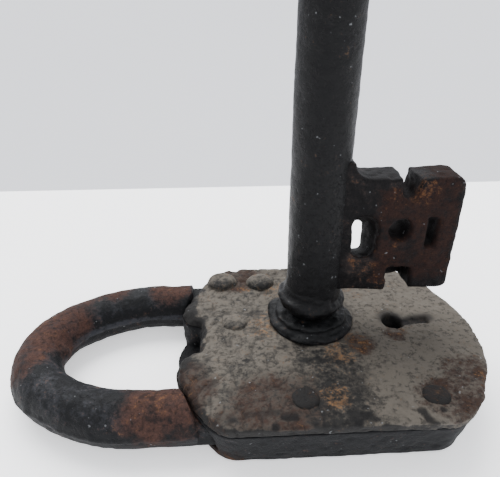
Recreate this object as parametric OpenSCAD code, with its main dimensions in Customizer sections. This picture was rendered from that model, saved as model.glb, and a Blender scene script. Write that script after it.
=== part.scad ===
// Riveted cast-iron padlock with its large key standing in the lock.
// The lock lies on its back: face up, shackle toward -X, hinge of the shackle at the rear left.
// Frame: origin on the floor under the middle of the whole object, +Z up, millimetres.

/* [Case] */
// Height of the case from the floor to the flat face
case_h = 19; // [18:0.5:22]
// Half of the case's width at the face
case_half_w = 43; // [42:0.5:46]
// How far the side walls lean in at the floor
wall_lean = 4.5; // [2:0.5:5]
// Radius of the rounded end opposite the shackle
end_r = 55; // [54:0.5:58]
// Thickness of the back
floor_t = 2.5; // [2:0.1:3]
// Thickness of the face plate
plate_t = 4.5; // [4:0.1:4.8]
// Thickness of the wall on the shackle side
wall_t = 3; // [2.5:0.1:3.2]

/* [Shackle] */
// Diameter of the shackle bar
bar_d = 17; // [15:0.5:17]
// Distance between the two legs, centre to centre
leg_gap = 58; // [57:0.5:59]
// Radius of the side arcs of the bend
side_arc_r = 48; // [46:1:50]
// Angle of each side arc
side_arc_deg = 37.7; // [34:0.1:40]
// Radius of the hinge pin
heel_pin_r = 3.5; // [3:0.1:3.8]

/* [Key] */
// Diameter of the key's shank
shank_d = 18.6; // [17:0.2:20]
// Reach of the bit from the shank's axis
bit_reach = 44; // [40:0.5:46]
// Thickness of the bit
bit_t = 13; // [10:0.5:14]
// Lower and upper edge of the bit
bit_z0 = 34.8; // [32:0.2:38]
bit_z1 = 74; // [70:0.5:80]
// Height of the middle of the bow
bow_z = 165; // [160:1:175]
// Radius of the bow's centre line
bow_r = 23; // [20:0.5:26]
// Radius of the bow's bar
bow_bar_r = 6; // [5:0.5:7]

/* [Lock] */
// Throw of the crank pin from the rotor's axis
crank_r = 4.5; // [4.2:0.05:4.6]
// Radius of the crank pin
crank_pin_r = 1.6; // [1.4:0.05:1.7]
// Radius of the bore that the rotor and the key turn in
bush_bore_r = 6.2; // [6:0.05:6.4]
// Radial clearance of running fits
run_fit = 0.05; // [0.03:0.01:0.1]
// Gap between parts that pass each other
gap = 0.4; // [0.3:0.05:0.5]

/* [Hidden] */
$fn = 96;
cut = 1; // overshoot of a cutting solid past the face it cuts

// Case outline
end_x = 25.25; // middle of the rounded end
notch_x = -16.65; // middle of the shackle side
lobe = [-15.75, 15.5]; // centre of the lobe beside each leg
corner = [-8.25, case_half_w - 8]; // centre of the corner past each leg
lobe_r = 8;
lip_r = 20; // low lip between the legs
lip = [-5, 1.5];
lip_h = 5;
seam_z = case_h - plate_t;
cavity_half_w = case_half_w - wall_lean - 1.8;
cavity_end_r = end_r - wall_lean - 2.5;

// Shackle
leg_y = leg_gap / 2;
bar_r = bar_d / 2;
bar_z = bar_r + 1.2; // height of the bar's centre line
apex_y = leg_y - side_arc_r * (1 - cos(side_arc_deg));
apex_r = apex_y / cos(side_arc_deg);
// The straight legs end where the bend reaches as far out as the case's round end
bend_x = (side_arc_r - apex_r) * sin(side_arc_deg) + apex_r + bar_r - end_x - end_r;
apex_x = bend_x - side_arc_r * sin(side_arc_deg) + apex_r * sin(side_arc_deg);
heel_pin = [-8.55, leg_y + 2.4];
eye_r = 8;
washer_r = 5.2;
way_gap = 0.3; // play above and below a tongue in its way
joint_swell = 0.05;
joint_w = 1.2;
tongue_z0 = 5;
tongue_z1 = 13;
heel_floor_z = tongue_z0 - 0.8;
heel_clear_x = heel_pin.x - (case_half_w - heel_pin.y) - gap; // where the round bar may start
toe_y0 = -leg_y - 7; // outer edge of the toe
toe_y1 = -leg_y + 7; // inner edge of the toe
toe_tip_x = -2.25;
toe_notch_w = 6.8;
toe_notch_d = 6.2;
heel_bush_r = heel_pin_r + 1.2;

// Rivets: [x, y] on the face
shoulder_rivet_at = [6.75, 30.5];
centre_rivet_at = [-4.05, 4.6];
edge_rivets_at = [[15.35, -32.4], [53.65, -33.4], [53.75, 33.4]];
rivet_r = 2.2;
boss_r = 4.4;
tail_z = 0.3; // where the tails end, just inside the back
// Rivet heads: [radius, height]
heel_head = [6, 2.4];
shoulder_head = [5.7, 2.2];
centre_head = [4.7, 1.1];
edge_head = [4.3, 0.8];

// Rotor and key
key_at = [23.05, 5];
disc_r = 7.6;
foot_z0 = 3.1;
foot_z1 = 5.6;
disc_z0 = 10.6;
disc_z1 = 13.2;
hub_z1 = 17;
slot_z0 = 14;
slot_w = 3.2;
crank_deg = 135; // direction of the crank pin at rest
pivot_r = 2.5;
post_r = 2.2;
shank_r = shank_d / 2;
bush_top = case_h + 5;
bush_neck_r = bush_bore_r + 2.4;
bush_foot_r = 15;
bush_rim_r = 11.6;
shank_z0 = bush_top + 0.3;
shank_z1 = bow_z - bow_r - bow_bar_r - 0.3;
neck_h = 1.4;
bead_h = 5;
bead_r = shank_r + 1.9;

// Bolt
bolt_z0 = 6;
bolt_z1 = 10.2;
crank_y = crank_r * sin(45); // half of the bolt's throw
throw = 2 * crank_y;
talon_y = key_at.y + crank_y;
talon_half = crank_pin_r + 0.25;
nose_x = -7.75;
nose_w = 6;
nose_tip_y = toe_y1 + 0.6;
lap_y0 = -16;
lap_y1 = -10;
lap_z = 8.1;
guide_w = 2.4;
guide_y0 = -18;
guide_y1 = -8;
guide_gap = 0.3;
guide_z1 = bolt_z1 + way_gap;
keeper_z1 = guide_z1 + 1.6;
keeper_screw_r = 0.9;
keeper_head_r = 1.6;
head_h = 1; // height of the screw heads
driver_w = 0.5; // width of their slots
nose_rivet_r = 0.8;

// Springs
bolt_spring_at = [6.6, -13.4];
kick_spring_at = [17, 33.7];
anchor_r = 2.6;
leaf_t = 0.9;
spring_screw_r = 1.1;

iron_dark = "#3a3a3c";
iron_grey = "#6d6861";
iron_black = "#232529";
steel = "#8b8d90";
brass = "#a8894a";

// ---------- shapes that several pieces share ----------

// One half of the case outline, moved in by inset: lobe, leaning shoulder, round corner, side
module half_outline(inset) {
  along = (corner - lobe) / norm(corner - lobe);
  out = [-along.y, along.x] * (lobe_r - inset);
  side_y = corner.y + lobe_r - inset;
  polygon([
    [end_x + end_r, -cut], [notch_x + inset, -cut], [notch_x + inset, lobe.y], lobe,
    lobe + out, corner + out, corner, [corner.x, side_y], [end_x + end_r, side_y]
  ]);
  translate(lobe) circle(lobe_r - inset);
  translate(corner) circle(lobe_r - inset);
}

module case_outline(inset = 0) {
  half_outline(inset);
  mirror([0, 1]) half_outline(inset);
}

// Slab of the case between two heights, its sides and its round end leaning in at the floor
module case_slab(z0, z1) {
  intersection() {
    translate([0, 0, z0]) linear_extrude(z1 - z0) case_outline();
    translate([end_x, 0, 0]) cylinder(r1 = end_r - wall_lean, r2 = end_r, h = case_h);
    rotate([90, 0, 90])
      translate([0, 0, -100])
        linear_extrude(220)
          polygon([
            [-case_half_w + wall_lean, 0], [case_half_w - wall_lean, 0],
            [case_half_w, case_h], [-case_half_w, case_h]
          ]);
  }
}

// Rod or disc about a vertical axis at p
module rod(p, r, z0, z1) {
  translate([p.x, p.y, z0]) cylinder(r = r, h = z1 - z0);
}

// Washer about a vertical axis at p
module ring(p, r_in, r_out, z0, z1) {
  difference() {
    rod(p, r_out, z0, z1);
    rod(p, r_in, z0 - cut, z1 + cut);
  }
}

module block(p0, p1) {
  translate(p0) cube(p1 - p0);
}

// Low domed head: the cap of a ball, edge radius r, height h, standing on z
module dome(p, r, h, z) {
  ball_r = (r * r + h * h) / (2 * h);
  translate([p.x, p.y, z])
    intersection() {
      cylinder(r = r, h = h);
      translate([0, 0, h - ball_r]) sphere(ball_r);
    }
}

// Rivet through the whole case: domed head on the face, flush tail in the back
module case_rivet(p, r, head) {
  rod(p, r, tail_z, case_h);
  dome(p, head[0], head[1], case_h);
}

// ---------- case ----------

module case_cavity() {
  intersection() {
    translate([0, 0, floor_t]) linear_extrude(case_h) case_outline(wall_t);
    translate([end_x, 0, 0]) cylinder(r = cavity_end_r, h = case_h);
    block([-60, -cavity_half_w, 0], [100, cavity_half_w, case_h]);
  }
}

// Way of the heel: the quarter turn between the shoulder and the rear wall
module heel_way() {
  block(
    [heel_pin.x - 40, heel_pin.y - eye_r - gap, heel_floor_z],
    [heel_pin.x + eye_r + gap, heel_pin.y + 40, tongue_z1 + way_gap]
  );
}

// Way of the toe: outside the circle that its inner edge keeps to about the heel pin
module toe_way() {
  difference() {
    block(
      [-40, toe_y0 - gap, tongue_z0 - way_gap], [toe_tip_x + 4, lip.y, tongue_z1 + way_gap]
    );
    rod(heel_pin, heel_pin.y - toe_y1 - gap, 0, case_h);
  }
}

module case_shell() color(iron_dark) {
  boss_z = floor_t - 0.5; // the bosses are rooted in the floor
  rest_z = bolt_z0 - way_gap; // what the bolt slides on
  difference() {
    union() {
      difference() {
        union() {
          case_slab(0, seam_z);
          rod(lip, lip_r, 0, lip_h);
        }
        case_cavity();
      }
      for (p = concat(edge_rivets_at, [shoulder_rivet_at])) rod(p, boss_r, boss_z, seam_z);
      rod(centre_rivet_at, boss_r, boss_z, rest_z);
      block([nose_x - 2, guide_y0, boss_z], [nose_x + 2, guide_y1, rest_z]);
      intersection() {
        rod(heel_pin, boss_r + heel_pin_r - rivet_r, boss_z, heel_floor_z);
        case_slab(0, seam_z);
      }
    }
    heel_way();
    toe_way();
    rod(heel_pin, washer_r + 0.1, tongue_z1, case_h);
    for (p = concat(edge_rivets_at, [shoulder_rivet_at, centre_rivet_at]))
      rod(p, rivet_r, -cut, case_h);
    rod(heel_pin, heel_pin_r, -cut, case_h);
    rod(key_at, pivot_r + run_fit, tail_z + 0.5, case_h);
  }
}

keyhole_at = [52.55, 3.1];
keyhole_r = 4;
keyhole_slot_x = 65.4;
keyhole_slot_w = 4;
keyhole_slot_depth = 2;
keyhole_z = 9.5; // bottom of the blind hole

module face_plate() color(iron_grey) {
  difference() {
    union() {
      case_slab(seam_z, case_h);
      rod(keyhole_at, keyhole_r + 2, keyhole_z - 1.5, seam_z + cut);
    }
    rod(keyhole_at, keyhole_r, keyhole_z, case_h + cut);
    block(
      [keyhole_at.x, keyhole_at.y - keyhole_slot_w / 2, case_h - keyhole_slot_depth],
      [keyhole_slot_x, keyhole_at.y + keyhole_slot_w / 2, case_h + cut]
    );
    for (p = concat(edge_rivets_at, [shoulder_rivet_at, centre_rivet_at]))
      rod(p, rivet_r, 0, case_h + cut);
    rod(heel_pin, heel_pin_r, 0, case_h + cut);
    rod(key_at, bush_neck_r, 0, case_h + cut);
  }
}

module edge_rivets() color(iron_grey) {
  for (p = edge_rivets_at) case_rivet(p, rivet_r, edge_head);
}

module centre_rivet() color(iron_grey) case_rivet(centre_rivet_at, rivet_r, centre_head);

module shoulder_rivet() color(iron_grey) case_rivet(shoulder_rivet_at, rivet_r, shoulder_head);

module heel_pin() color(iron_grey) case_rivet(heel_pin, heel_pin_r, heel_head);

module heel_washers() color(steel) {
  play = 0.2;
  ring(heel_pin, heel_pin_r, washer_r, heel_floor_z, tongue_z0 - play);
  ring(heel_pin, heel_pin_r, washer_r, tongue_z1 + play, seam_z);
}

// Flanged bush that the rotor and the key turn in
module key_bush() color(iron_dark) {
  difference() {
    union() {
      rod(key_at, bush_neck_r, seam_z, case_h);
      translate([key_at.x, key_at.y, case_h])
        cylinder(r1 = bush_foot_r, r2 = bush_rim_r, h = bush_top - case_h);
    }
    rod(key_at, bush_bore_r, 0, bush_top + cut);
  }
}

module thrust_washer() color(brass)
  ring(key_at, pivot_r + gap, disc_r - 1.6, floor_t, foot_z0 - 0.25);

// Pair of blocks that keep the bolt's nose straight
module nose_guides() color(steel) {
  difference() {
    for (side = [-1, 1])
      block_between(nose_x + side * (nose_w / 2 + guide_gap), side * guide_w);
    for (p = keeper_screws_at()) rod(p, keeper_screw_r, floor_t, case_h);
  }
}

module block_between(x, dx) {
  block([min(x, x + dx), guide_y0, floor_t], [max(x, x + dx), guide_y1, guide_z1]);
}

function keeper_screws_at() = [
  for (side = [-1, 1])
    [nose_x + side * (nose_w / 2 + guide_gap + guide_w / 2), (guide_y0 + guide_y1) / 2]
];

// Strap over the nose, across both guides
module bolt_keeper() color(steel) {
  reach = nose_w / 2 + guide_gap + guide_w;
  difference() {
    block(
      [nose_x - reach, guide_y0 + 2, guide_z1], [nose_x + reach, guide_y1 - 2, keeper_z1]
    );
    for (p = keeper_screws_at()) rod(p, keeper_screw_r, floor_t, case_h);
  }
}

module keeper_screws() color(steel) {
  for (p = keeper_screws_at())
    difference() {
      union() {
        rod(p, keeper_screw_r, floor_t, keeper_z1);
        rod(p, keeper_head_r, keeper_z1, keeper_z1 + head_h);
      }
      block(
        [p.x - keeper_head_r - cut, p.y - driver_w / 2, keeper_z1 + head_h / 2],
        [p.x + keeper_head_r + cut, p.y + driver_w / 2, case_h]
      );
    }
}

// Bowed leaf, fixed at one end, that rubs on the edge of the bolt's plate
module bolt_spring() color(steel) {
  bend_r = 26;
  tip = [plate_x1 + 0.5, -3.4];
  difference() {
    union() {
      rod(bolt_spring_at, anchor_r, floor_t, bolt_z1);
      intersection() {
        ring(tip + [bend_r, 0], bend_r - leaf_t, bend_r, bolt_z0, bolt_z1);
        block([tip.x - 1, bolt_spring_at.y, 0], [tip.x + 4, tip.y, case_h]);
      }
    }
    rod(bolt_spring_at, spring_screw_r, 0, case_h);
  }
}

// Flat leaf along the rear wall that bears on the heel and kicks the shackle open
module kick_spring() color(steel) {
  difference() {
    union() {
      rod(kick_spring_at, anchor_r, floor_t, tongue_z1 - 1);
      block(
        [heel_pin.x + eye_r + gap, kick_spring_at.y + anchor_r - leaf_t, tongue_z0 + 1],
        [kick_spring_at.x, kick_spring_at.y + anchor_r, tongue_z1 - 1]
      );
    }
    rod(kick_spring_at, spring_screw_r, 0, case_h);
  }
}

module spring_screws() color(steel) {
  for (s = [[bolt_spring_at, bolt_z1], [kick_spring_at, tongue_z1 - 1]]) {
    rod(s[0], spring_screw_r, floor_t, s[1]);
    rod(s[0], 2 * spring_screw_r, s[1], s[1] + head_h);
  }
}

// ---------- shackle ----------

// Arc of the round bar: centre c, radius r, from angle a, over angle sweep
module bar_arc(c, r, a, sweep) {
  translate([c.x, c.y, bar_z])
    rotate([0, 0, a])
      rotate_extrude(angle = sweep) translate([r, 0]) circle(bar_r);
}

module bar_leg(y) {
  translate([bend_x, y, bar_z]) rotate([0, 90, 0]) cylinder(r = bar_r, h = toe_tip_x - bend_x);
}

// Short collar a hair larger than the bar, square to it, where two stretches meet at p
module bar_joint(p, deg) {
  translate([p.x, p.y, bar_z])
    rotate([0, 0, deg])
      rotate([0, 90, 0])
        cylinder(r = bar_r + joint_swell, h = joint_w, center = true);
}

// Round bar of the shackle, one stretch after another along the bend
module bent_bar() {
  arc_end_x = bend_x - side_arc_r * sin(side_arc_deg);
  for (side = [-1, 1]) {
    bar_leg(side * leg_y);
    bar_joint([bend_x, side * leg_y], 0);
    bar_arc(
      [bend_x, side * (leg_y - side_arc_r)], side_arc_r,
      side > 0 ? 90 : 270 - side_arc_deg, side_arc_deg
    );
    bar_joint([arc_end_x, side * apex_y], side * side_arc_deg);
  }
  bar_arc([apex_x, 0], apex_r, 90 + side_arc_deg, 180 - 2 * side_arc_deg);
}

module shackle_bar() color(iron_black) {
  difference() {
    union() {
      difference() {
        bent_bar();
        translate([0, 0, -cut]) linear_extrude(case_h + 2 * cut) case_outline(-gap);
        block([heel_clear_x, leg_y - 1, -cut], [20, 60, case_h + cut]);
      }
      block([heel_clear_x - 6, heel_pin.y - eye_r, tongue_z0], [heel_pin.x, leg_y + 8, tongue_z1]);
      rod(heel_pin, eye_r, tongue_z0, tongue_z1);
      block([bend_x + 6, toe_y0, tongue_z0], [toe_tip_x, toe_y1, tongue_z1]);
    }
    rod(heel_pin, heel_bush_r, 0, case_h);
    block(
      [nose_x - toe_notch_w / 2, toe_y1 - toe_notch_d, 0],
      [nose_x + toe_notch_w / 2, toe_y1 + cut, case_h]
    );
  }
}

module heel_bush() color(brass)
  ring(heel_pin, heel_pin_r + run_fit, heel_bush_r, tongue_z0, tongue_z1);

// ---------- rotor ----------

module on_key_axis(deg = 0) {
  translate([key_at.x, key_at.y, 0]) rotate([0, 0, deg]) children();
}

// Two discs held apart by a post, so the bolt's fork can reach the crank pin between them
module lock_rotor() color(steel) {
  on_key_axis(crank_deg) difference() {
    union() {
      rod([0, 0], pivot_r, 1, foot_z0);
      rod([0, 0], disc_r, foot_z0, foot_z1);
      rod([-crank_r, 0], post_r, foot_z1, disc_z0);
      rod([0, 0], disc_r, disc_z0, disc_z1);
      rod([0, 0], bush_bore_r - run_fit, disc_z1, hub_z1);
    }
    rod([crank_r, 0], crank_pin_r, 0, disc_z1);
    rotate([0, 0, -crank_deg])
      block([-disc_r, -slot_w / 2, slot_z0], [disc_r, slot_w / 2, hub_z1 + cut]);
  }
}

module crank_pin() color(brass) on_key_axis(crank_deg)
  rod([crank_r, 0], crank_pin_r, foot_z0, disc_z1);

// ---------- bolt ----------

guide_slot_r = rivet_r + 0.3;
plate_x0 = nose_x - nose_w / 2;
plate_x1 = 3;
talon_arm = 4.6; // half of the fork's width

module locking_bolt() color(steel) {
  difference() {
    union() {
      block([plate_x0, -1, bolt_z0], [plate_x1, 17, bolt_z1]);
      block([plate_x0, lap_y1, bolt_z0], [nose_x + nose_w / 2, 0, bolt_z1]);
      block([plate_x0, lap_y0, bolt_z0], [nose_x + nose_w / 2, lap_y1, lap_z]);
      block([plate_x1 - 1, talon_y - talon_arm, bolt_z0], [key_at.x - 1.5, talon_y + talon_arm, bolt_z1]);
    }
    // talon: a fork round the crank pin, open toward the rotor
    block(
      [key_at.x - crank_r - talon_half, talon_y - talon_half, 0],
      [key_at.x, talon_y + talon_half, case_h]
    );
    // guide slot on the centre rivet
    rod(centre_rivet_at, guide_slot_r, 0, case_h);
    rod(centre_rivet_at + [0, throw], guide_slot_r, 0, case_h);
    block(
      [centre_rivet_at.x - guide_slot_r, centre_rivet_at.y, 0],
      [centre_rivet_at.x + guide_slot_r, centre_rivet_at.y + throw, case_h]
    );
    for (p = nose_rivets_at()) rod(p, nose_rivet_r, 0, case_h);
  }
}

function nose_rivets_at() = [for (y = [lap_y0 + 2 * nose_rivet_r, lap_y1 - 2 * nose_rivet_r]) [nose_x, y]];

module bolt_nose() color(steel) {
  difference() {
    union() {
      block([plate_x0, lap_y0, lap_z], [nose_x + nose_w / 2, lap_y1, bolt_z1]);
      block([plate_x0, nose_tip_y, bolt_z0], [nose_x + nose_w / 2, lap_y0, bolt_z1]);
    }
    for (p = nose_rivets_at()) rod(p, nose_rivet_r, 0, case_h);
  }
}

module nose_rivets() color(brass) {
  for (p = nose_rivets_at()) rod(p, nose_rivet_r, bolt_z0, bolt_z1);
}

// ---------- key ----------

module key_shank() color(iron_black) on_key_axis() {
  rod([0, 0], shank_r - 0.8, shank_z0, shank_z0 + neck_h); // narrow neck
  rod([0, 0], shank_r, shank_z0 + neck_h, shank_z1);
}

// Bit outline in the plane of the bit: x from the key's axis, y up
module bit_outline() {
  round_r = 3;
  h = bit_z1 - bit_z0;
  fillet_r = 5;
  mid = (bit_z0 + bit_z1) / 2 + 2.3;
  inner_x = shank_r + 2.6;
  inner_r = 3.2;
  hole_x = 25.5;
  outer_x = 35.9;
  outer_w = 3.4;
  outer_h = 10.4;
  lower_x = 22.9;
  lower_w = 8;
  upper_x = 26.7;
  upper_r = 3.2;
  difference() {
    union() {
      translate([0, bit_z0]) square([bit_reach - round_r, h]);
      translate([0, bit_z0 + round_r]) square([bit_reach, h - 2 * round_r]);
      for (y = [bit_z0 + round_r, bit_z1 - round_r])
        translate([bit_reach - round_r, y]) circle(round_r);
      difference() {
        translate([0, bit_z1]) square([shank_r + fillet_r, fillet_r]);
        translate([shank_r + fillet_r, bit_z1 + fillet_r]) circle(fillet_r);
      }
    }
    // slot beside the shank
    translate([inner_x, mid - 4.6]) circle(inner_r);
    translate([inner_x, mid + 3.4]) circle(inner_r);
    translate([inner_x - inner_r, mid - 4.6]) square([2 * inner_r, 8]);
    // middle hole
    translate([hole_x, mid]) circle(3.8);
    // outer slot
    translate([outer_x - outer_w / 2, mid - outer_h / 2]) square([outer_w, outer_h]);
    // square notch below, rounded notch above
    translate([lower_x, bit_z0 - cut]) square([lower_w, lower_w + cut]);
    translate([upper_x, bit_z1 - upper_r]) circle(upper_r);
    translate([upper_x - upper_r, bit_z1 - upper_r]) square([2 * upper_r, upper_r + cut]);
  }
}

module key_bit() color("#54413a") on_key_axis() {
  difference() {
    rotate([90, 0, 0])
      translate([0, 0, -bit_t / 2])
        linear_extrude(bit_t) bit_outline();
    rod([0, 0], shank_r, 0, bow_z);
  }
}

// Round bead at the foot of the shank
module key_collar() color(iron_black) on_key_axis() {
  z0 = shank_z0 + neck_h + 0.4;
  round_r = 2.6; // of its edge
  rotate_extrude()
    intersection() {
      translate([shank_r, z0]) square([2 * round_r, bead_h]);
      translate([bead_r - round_r, z0 + bead_h / 2]) circle(round_r);
    }
}

// Spigot that fills the bush, with the tongue that turns the rotor
module key_spigot() color(steel) on_key_axis() {
  spigot_r = bush_bore_r - run_fit - 0.03;
  tongue = [spigot_r - 0.7, slot_w / 2 - 0.1];
  rod([0, 0], spigot_r, hub_z1 + way_gap, shank_z0);
  block(
    [-tongue.x, -tongue.y, slot_z0 + 0.2], [tongue.x, tongue.y, hub_z1 + way_gap]
  );
}

module key_bow() color(iron_black) on_key_axis() {
  translate([0, 0, bow_z])
    rotate([90, 0, 0])
      rotate_extrude() translate([bow_r, 0]) circle(bow_bar_r);
  rod([0, 0], bow_bar_r + 1, shank_z1, bow_z - bow_r);
}

module bow_ferrule() color(iron_black) on_key_axis() {
  round_r = 3;
  z = shank_z1 - round_r - 1;
  rotate_extrude()
    intersection() {
      translate([shank_r, z - round_r]) square(2 * round_r);
      translate([shank_r - 0.6, z]) circle(round_r);
    }
}

case_shell();
face_plate();
edge_rivets();
centre_rivet();
shoulder_rivet();
heel_pin();
heel_washers();
key_bush();
thrust_washer();
nose_guides();
bolt_keeper();
keeper_screws();
bolt_spring();
kick_spring();
spring_screws();
shackle_bar();
heel_bush();
lock_rotor();
crank_pin();
locking_bolt();
bolt_nose();
nose_rivets();
key_shank();
key_bit();
key_collar();
key_spigot();
key_bow();
bow_ferrule();
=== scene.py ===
import bpy
import numpy as np
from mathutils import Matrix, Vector


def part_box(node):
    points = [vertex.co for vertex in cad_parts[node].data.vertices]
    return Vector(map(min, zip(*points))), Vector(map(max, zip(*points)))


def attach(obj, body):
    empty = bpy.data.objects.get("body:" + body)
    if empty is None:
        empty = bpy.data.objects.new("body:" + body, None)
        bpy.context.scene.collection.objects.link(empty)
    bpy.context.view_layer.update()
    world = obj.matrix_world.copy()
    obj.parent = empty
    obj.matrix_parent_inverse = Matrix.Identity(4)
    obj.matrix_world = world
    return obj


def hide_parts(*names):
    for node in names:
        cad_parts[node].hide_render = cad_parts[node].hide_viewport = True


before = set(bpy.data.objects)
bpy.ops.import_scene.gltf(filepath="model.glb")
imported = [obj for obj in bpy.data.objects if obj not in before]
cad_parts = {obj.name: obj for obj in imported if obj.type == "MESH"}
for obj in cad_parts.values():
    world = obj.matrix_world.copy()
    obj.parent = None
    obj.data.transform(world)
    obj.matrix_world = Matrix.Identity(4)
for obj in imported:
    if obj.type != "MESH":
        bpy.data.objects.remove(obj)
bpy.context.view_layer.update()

# ---------------------------------------------------------------- studio
# A white table top and a pale wall behind it, one broad soft lamp overhead and behind, and a
# weaker one in front. The camera looks down at the lock's face from just left of its middle.
MM = 0.001
CAMERA_AT = (-6.65, -134.55, 123.9)  # mm
CAMERA_LOOK = (0.0504, 0.888, -0.457)
LENS = 34.73
SENSOR = 36.0
WORLD_STRENGTH = 1.5

scene = bpy.context.scene


def linear(code):
    """Linear red, green, blue and an alpha of 1 from an sRGB hex code."""
    part = np.array([int(code[i:i + 2], 16) for i in (1, 3, 5)]) / 255
    low = part / 12.92
    high = ((part + 0.055) / 1.055) ** 2.4
    return (*np.where(part <= 0.04045, low, high), 1.0)


def put(tree, kind, links=(), out=None, **settings):
    """Adds a node to a tree. settings are its properties. links are its inputs by name or number,
    each a plain value or another node's output. Gives back its output out, or the node itself."""
    node = tree.nodes.new(kind)
    for name, value in settings.items():
        setattr(node, name, value)
    for socket, value in dict(links).items():
        if isinstance(value, bpy.types.NodeSocket):
            tree.links.new(value, node.inputs[socket])
        else:
            node.inputs[socket].default_value = value
    return node if out is None else node.outputs[out]


def new_material(name):
    """An empty material, and its node tree."""
    material = bpy.data.materials.new(name)
    material.use_nodes = True
    material.node_tree.nodes.clear()
    return material, material.node_tree


camera = bpy.data.objects.new("camera", bpy.data.cameras.new("camera"))
camera.data.lens = LENS
camera.data.sensor_width = SENSOR
camera.data.clip_start = 0.005
camera.location = [v * MM for v in CAMERA_AT]
camera.rotation_euler = Vector(CAMERA_LOOK).to_track_quat("-Z", "Y").to_euler()
scene.collection.objects.link(camera)
scene.camera = camera


def lamp(name, at, aim, size, watts, colour):
    """A rectangular lamp at a point, in metres, turned to face the point aim."""
    light = bpy.data.lights.new(name, "AREA")
    light.shape = "RECTANGLE"
    light.size, light.size_y = size
    light.energy = watts
    light.color = linear(colour)[:3]
    holder = bpy.data.objects.new(name, light)
    holder.location = at
    holder.rotation_euler = (Vector(aim) - Vector(at)).to_track_quat("-Z", "Y").to_euler()
    scene.collection.objects.link(holder)


lamp("overhead", (-0.25, 0.55, 1.1), (0, 0, 0), (1.2, 0.9), 30.0, "#ffffff")
lamp("front_fill", (0.5, -1.0, 0.8), (0, 0, 0.02), (0.9, 0.7), 5.0, "#f4f7ff")
world = bpy.data.worlds.new("studio")
world.use_nodes = True
world.node_tree.nodes["Background"].inputs["Color"].default_value = linear("#f2f4f8")
world.node_tree.nodes["Background"].inputs["Strength"].default_value = WORLD_STRENGTH
scene.world = world


def flat_sheet(name, corners, code, rough, glow):
    """A four-cornered backdrop in matt paper, which the eye reads as plain white card. It glows a
    little, so that it stays pale in its own shade."""
    mesh = bpy.data.meshes.new(name)
    mesh.from_pydata(corners, [], [(0, 1, 2, 3)])
    sheet = bpy.data.objects.new(name, mesh)
    material, tree = new_material(name)
    shader = put(tree, "ShaderNodeBsdfPrincipled",
                 {"Base Color": linear(code), "Roughness": rough, "Emission Color": linear(code),
                  "Emission Strength": glow}, out="BSDF")
    put(tree, "ShaderNodeOutputMaterial", {"Surface": shader})
    mesh.materials.append(material)
    scene.collection.objects.link(sheet)


TABLE_HALF = 2
TABLE_END_Y = 0.187
WALL_HALF = 4
WALL_Y = 3.0
WALL_TOP_Z = 2
flat_sheet("table", [(-TABLE_HALF, -TABLE_HALF, 0), (TABLE_HALF, -TABLE_HALF, 0),
                     (TABLE_HALF, TABLE_END_Y, 0), (-TABLE_HALF, TABLE_END_Y, 0)], "#fafafb", 0.7, 0.7)
flat_sheet("wall", [(-WALL_HALF, WALL_Y, -WALL_HALF), (WALL_HALF, WALL_Y, -WALL_HALF),
                    (WALL_HALF, WALL_Y, WALL_TOP_Z), (-WALL_HALF, WALL_Y, WALL_TOP_Z)], "#dadbdf", 0.9, 0.9)

# ---------------------------------------------------------------- lower half of the case
# A sand casting in grey iron: the back, the leaning walls and the low lip between the legs, hollow
# for the lock work. It was left as cast and painted black, and it is pitted all over.
LATTICE = 32  # random values along a side of the lattice, after which the lumps repeat


def box_mm(node):
    """Lowest and highest corner of a CAD node, in millimetres."""
    return np.array([list(corner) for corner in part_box(node)]) / MM


def lumps(p, size, seed):
    """Smooth random height from -1 to 1 at points p: random values on a lattice of the given
    spacing, blended between its corners with the curve 3t^2 - 2t^3."""
    table = np.random.default_rng(seed).uniform(-1, 1, (LATTICE,) * 3)
    q = np.asarray(p) / size
    low = np.floor(q).astype(int)
    t = q - low
    t = t * t * (3 - 2 * t)
    near = [(low[..., i] % LATTICE, (low[..., i] + 1) % LATTICE) for i in range(3)]
    share = [(1 - t[..., i], t[..., i]) for i in range(3)]
    total = 0
    for dx, dy, dz in np.ndindex(2, 2, 2):
        corner = table[near[0][dx], near[1][dy], near[2][dz]]
        total = total + corner * (share[0][dx] * share[1][dy] * share[2][dz])
    return total


def ramp(value, start, end):
    """0 before start, 1 after end, and the curve 3t^2 - 2t^3 between them."""
    t = np.clip((value - start) / (end - start), 0, 1)
    return t * t * (3 - 2 * t)


def round_max(a, b, r):
    """Larger of two distances, with the edge where they meet rounded over a width r."""
    return np.maximum(a, b) + np.maximum(r - np.abs(a - b), 0) ** 2 / (4 * r)


def round_min(a, b, r):
    """Smaller of two distances, with the corner where they meet filled over a width r."""
    return -round_max(-a, -b, r)


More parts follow.
